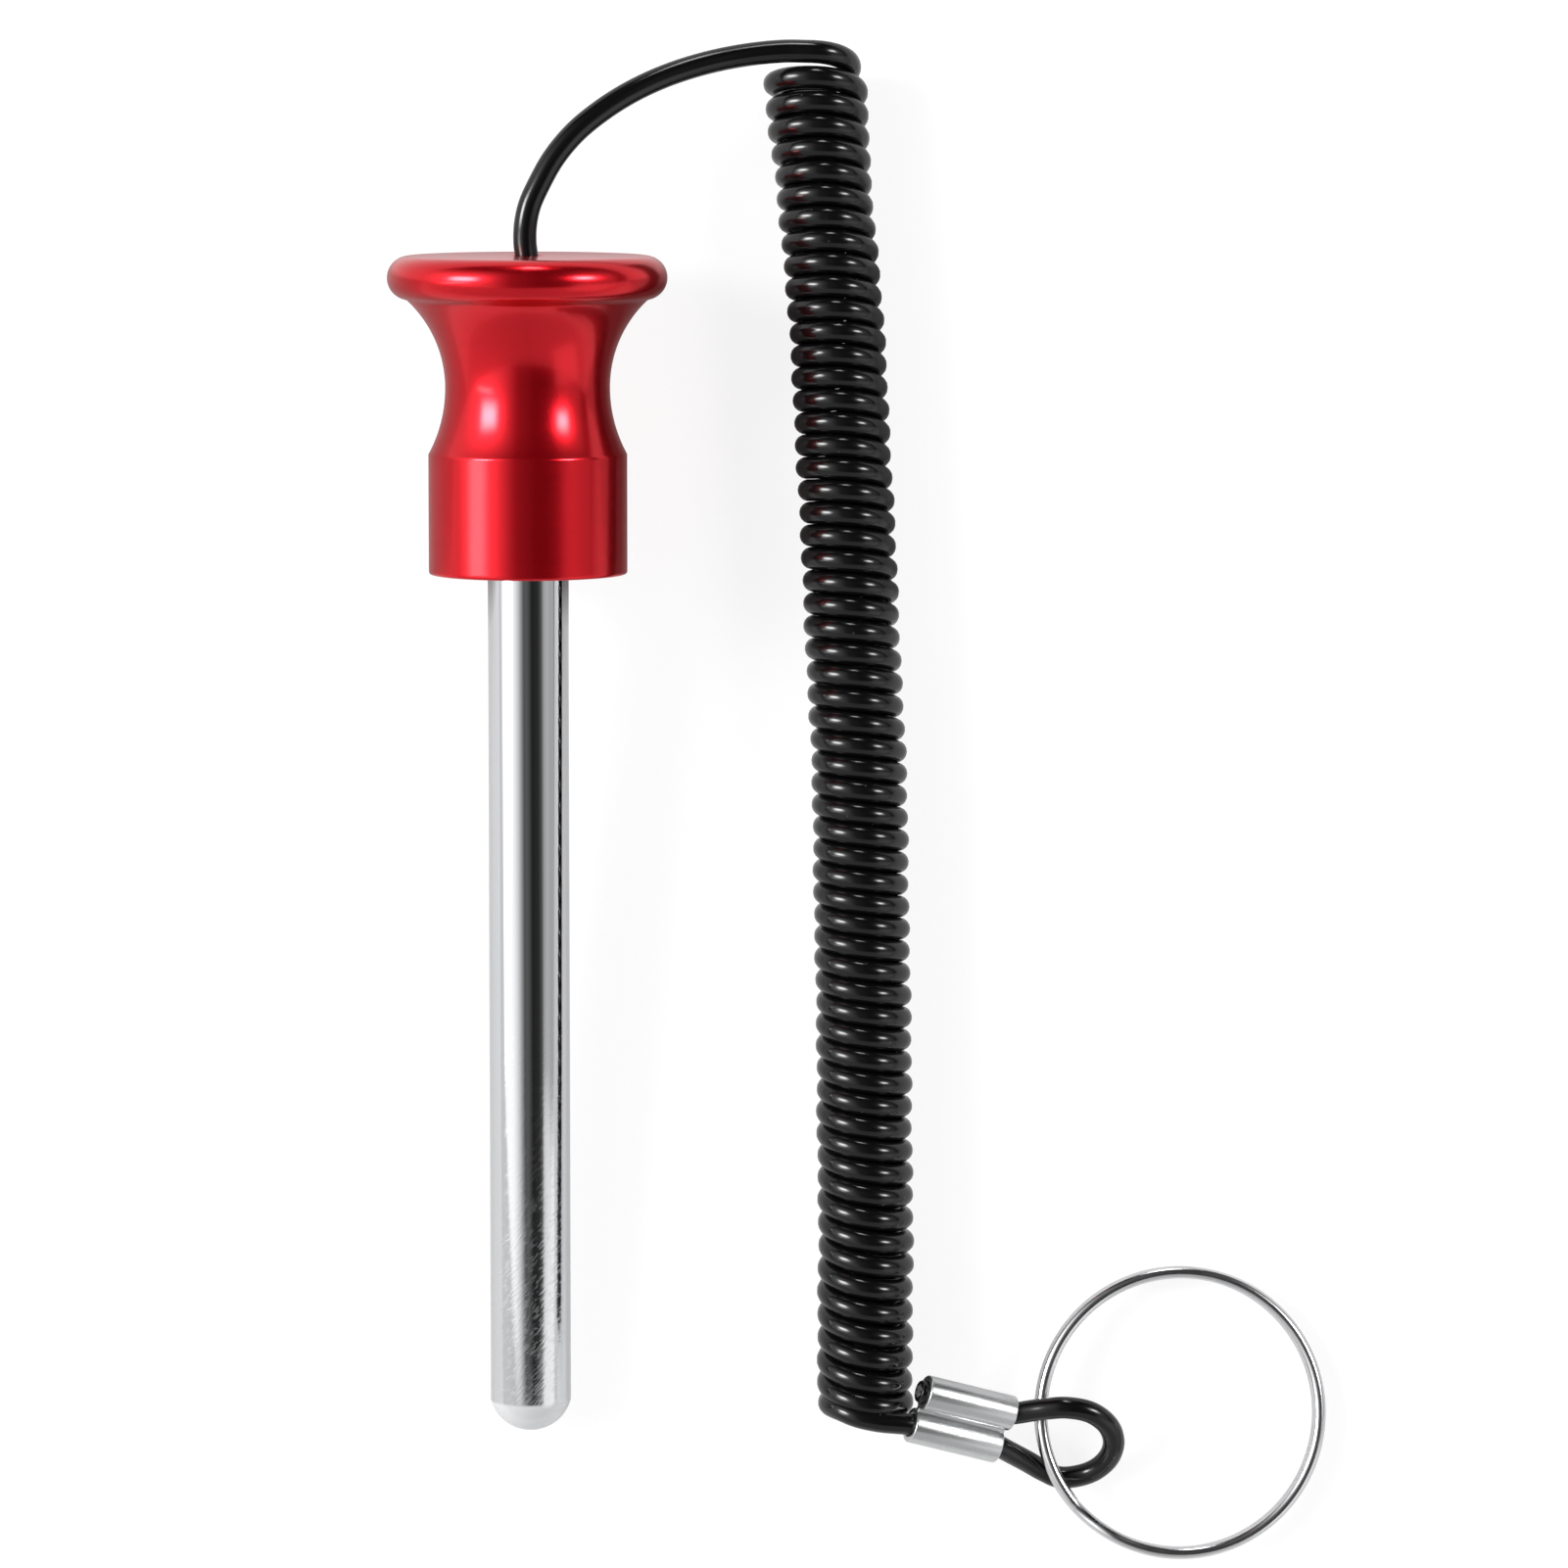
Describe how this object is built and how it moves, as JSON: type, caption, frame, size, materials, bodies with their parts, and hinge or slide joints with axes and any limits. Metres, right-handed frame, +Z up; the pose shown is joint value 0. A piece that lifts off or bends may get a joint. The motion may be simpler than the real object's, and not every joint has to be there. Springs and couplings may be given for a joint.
{
  "type": "weight stack pin",
  "caption": "Turned knob with a straight domed pin, and a coiled cable lanyard that ends in a sleeved loop and a split ring.",
  "frame": {"origin": "on the floor, under the middle of the knob and pin", "axes": "+Z up, +Y along the pin from its tip to the knob, +X towards the lanyard"},
  "size_m": [0.1165, 0.1889, 0.0343],
  "materials": {
    "red_anodised": "satin anodised",
    "chromed_pin": "polished",
    "nickel_magnet": "nickel plated",
    "plain_steel": "plain",
    "black_jacket": "gloss",
    "drawn_aluminium": "drawn",
    "ring_chrome": "polished"
  },
  "bodies": {
    "pin_assembly": {"knob": "red_anodised", "pin": "chromed_pin", "magnet_ring": "nickel_magnet", "cable_stop": "plain_steel", "cable_lead": "black_jacket", "cable_coil": "black_jacket", "cable_tail": "black_jacket", "ferrule": "drawn_aluminium"},
    "ring": {"split_ring": "ring_chrome"}
  },
  "joints": [
    {"name": "ring_swing", "type": "hinge", "parent": "pin_assembly", "child": "ring", "pos_m": [0.0636, -0.07155, 0.00466], "axis": [0.0082, -0.9992, 0.0386], "range_deg": [0, 120]}
  ]
}
